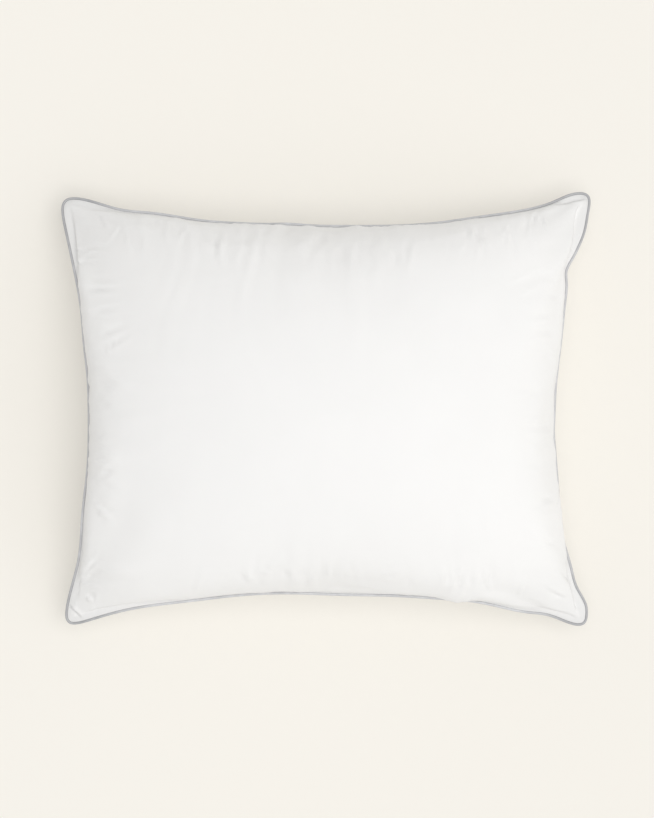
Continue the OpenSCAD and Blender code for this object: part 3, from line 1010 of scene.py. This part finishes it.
def make_fill(cloth, u, v, material):
    """The down as one tufted mass just inside both panels, with a groove all round for the allowances.

    It keeps below the lowest of the panel's folds nearby, and above the panel on the floor.
    """
    random = np.random.default_rng(11)
    plain = softened(cloth.copy(), 12)
    normals = face_normals_of(plain)
    lowest = ((cloth - plain) * normals).sum(-1)
    for axis in (1, 2):
        lowest = np.minimum.reduce([np.roll(lowest, k, axis) for k in range(-3, 4)])
    inner = np.s_[FILL_ROWS:-FILL_ROWS:2, FILL_ROWS:-FILL_ROWS:2]
    room = np.linalg.norm(plain[0][inner] - plain[1][inner], axis=-1)
    sheets = []
    for k in (0, 1):
        tufts = np.clip(tufts_of(lowest[k][inner].shape, random), -2, 2)
        depth = np.minimum(FILL_DEPTH + tufts * TUFT - lowest[k][inner], FILL_SHARE * room)
        sheets.append(plain[k][inner] - depth[..., None] * normals[k][inner])
    top, bottom = sheets
    bottom[..., 2] = np.maximum(bottom[..., 2], FILL_FLOOR)

    rim_u, rim_v = round_edge(u[inner]), round_edge(v[inner])
    size = np.maximum(np.abs(rim_u), np.abs(rim_v))
    rim_u, rim_v = rim_u / size, rim_v / size
    groove = np.stack([*plan(rim_u, rim_v), seam_height(rim_u, rim_v)], -1)
    groove += GROOVE_A * groove * OUTWARD
    count = top[..., 0].size
    index = np.arange(count).reshape(top.shape[:2])
    rim = round_edge(index)
    mouth = 2 * count + np.arange(len(rim))
    lift = np.array([0, 0, GROOVE_H])
    faces = np.concatenate([
        quads(index), quads(index + count)[:, ::-1], bands([rim, mouth, mouth + len(rim), rim + count])])
    vertices = np.concatenate([top.reshape(-1, 3), bottom.reshape(-1, 3), groove + lift, groove - lift])
    return new_object("down_fill", vertices, faces, material)


LABEL_THICK = 0.25 * MM
LABEL_CURL = 1.2 * MM  # how far its free end lifts


def make_label(cloth, material):
    """A blank ribbon that hangs out of the seam along the underside, near the back corner."""
    width, length, lift = 30 * MM, 45 * MM, 0.9 * MM
    place = 0.775  # share of the way along the back side, from the left tip
    cells = np.array(cloth.shape[1:3]) - 1
    column, beside, rows_down = int(cells[0] * place), 6, 40
    columns = np.arange(column - beside, column + beside + 1)
    rows = np.arange(cells[1], cells[1] - rows_down, -1)
    normals = face_normals_of(cloth)[1]
    strip = cloth[1][columns][:, rows] + lift * normals[columns][:, rows]
    steps = np.linalg.norm(np.diff(strip, axis=1), axis=2).mean(0)
    down = np.concatenate([[0], np.cumsum(steps)])
    across = np.linspace(-width / 2, width / 2, 9)
    centre = strip.mean(0)
    side_on = strip[-1] - strip[0]
    side_on /= np.linalg.norm(side_on, axis=1, keepdims=True)
    where = np.linspace(0, length, 19)
    points = []
    for t in where:
        spot = np.array([np.interp(t, down, centre[:, k]) for k in range(3)])
        turn = np.array([np.interp(t, down, side_on[:, k]) for k in range(3)])
        curl = LABEL_CURL * (t / length) ** 3
        points.append(spot + across[:, None] * turn + np.array([0, curl, -curl * 0.3]))
    grid = np.stack(points, 1)
    index = np.arange(grid[..., 0].size).reshape(grid.shape[:2])
    uv = np.stack(np.broadcast_arrays(across[:, None], where[None, :]), -1).reshape(-1, 2)
    label = new_object("care_label", grid.reshape(-1, 3), quads(index), material, uv)
    shell = label.modifiers.new("thickness", "SOLIDIFY")
    shell.thickness = LABEL_THICK
    shell.offset = 0
    apply_modifiers(label)
    return label


# ---- stage ----
FLOOR_SIZE = 12
# soft boxes: name, strength, spread, and tilt towards the bottom and the right of the picture, degrees
LAMPS = [("above", 1.08, 45, (2, 8)), ("aside", 0.66, 70, (18, 34))]
LAMP_COLOUR = (1.0, 0.99, 0.975)
SKY = 0.57
CAMERA_HEIGHT = 6.0
SENSOR = 36  # mm
VIEW_HEIGHT = 0.903  # what the picture takes in, up and down, at the tips


def make_stage():
    edge = FLOOR_SIZE / 2
    corners = [(-edge, -edge, 0), (edge, -edge, 0), (edge, edge, 0), (-edge, edge, 0)]
    floor = new_object("floor", corners, [(0, 1, 2, 3)], floor_material())

    world = bpy.data.worlds.new("studio")
    bpy.context.scene.world = world
    world.use_nodes = True
    sky = world.node_tree.nodes["Background"]
    sky.inputs["Color"].default_value = (1.0, 1.0, 1.0, 1)
    sky.inputs["Strength"].default_value = SKY
    for name, energy, spread, tilt in LAMPS:
        light = bpy.data.lights.new(name, "SUN")
        light.energy = energy
        light.angle = math.radians(spread)
        light.color = LAMP_COLOUR
        lamp = bpy.data.objects.new(name, light)
        lamp.rotation_euler = (math.radians(tilt[0]), math.radians(tilt[1]), 0)
        bpy.context.scene.collection.objects.link(lamp)

    camera = bpy.data.cameras.new("camera")
    camera.sensor_fit = "VERTICAL"
    camera.sensor_height = SENSOR
    camera.lens = SENSOR * (CAMERA_HEIGHT - SEAM_Z["tip"] * MM) / VIEW_HEIGHT
    camera.clip_end = 50
    eye = bpy.data.objects.new("camera", camera)
    eye.location = (0, 0, CAMERA_HEIGHT)
    bpy.context.scene.collection.objects.link(eye)
    bpy.context.scene.camera = eye
    bpy.context.scene.view_settings.view_transform = "Standard"


# ---- the pillow ----
def make_pillow():
    cotton = cotton_material()
    thread = fibre_material("white_thread", (0.88, 0.88, 0.87), 0.15 * MM, 0.2, 0.5)
    cloth, u, v = inflate()
    cloth = creased(edged(cloth, u, v), u, v)
    seam = Seam(cloth, u, v)
    parted = over_allowances(cloth, seam, u, v)

    top = make_panel("top_panel", parted[0], 1, seam, u, v, cotton)
    bottom = make_panel("bottom_panel", parted[1], -1, seam, u, v, cotton)
    fill = make_fill(parted, u, v, fibre_material("white_down", (0.93, 0.92, 0.89), 1.2 * MM, 0.5, 0.9))
    dress(top, "top_panel")
    dress(bottom, "bottom_panel")
    dress(fill, "down_fill")

    dress(make_tape(seam, satin_material()), "piping_tape")
    cord = make_cord(seam, fibre_material("cotton_cord", (0.84, 0.81, 0.74), 0.25 * MM, 0.2))
    dress(cord, "piping_cord")
    dress(make_lockstitch("needle_thread", 1, seam, thread), "needle_thread")
    dress(make_lockstitch("bobbin_thread", -1, seam, thread), "bobbin_thread")
    dress(make_overlock(seam, thread), "overlock_thread")
    dress(make_closing(seam, thread), "closing_thread")
    dress(make_label(parted, ribbon_material()), "care_label")


make_stage()
make_pillow()

bpy.context.view_layer.update()
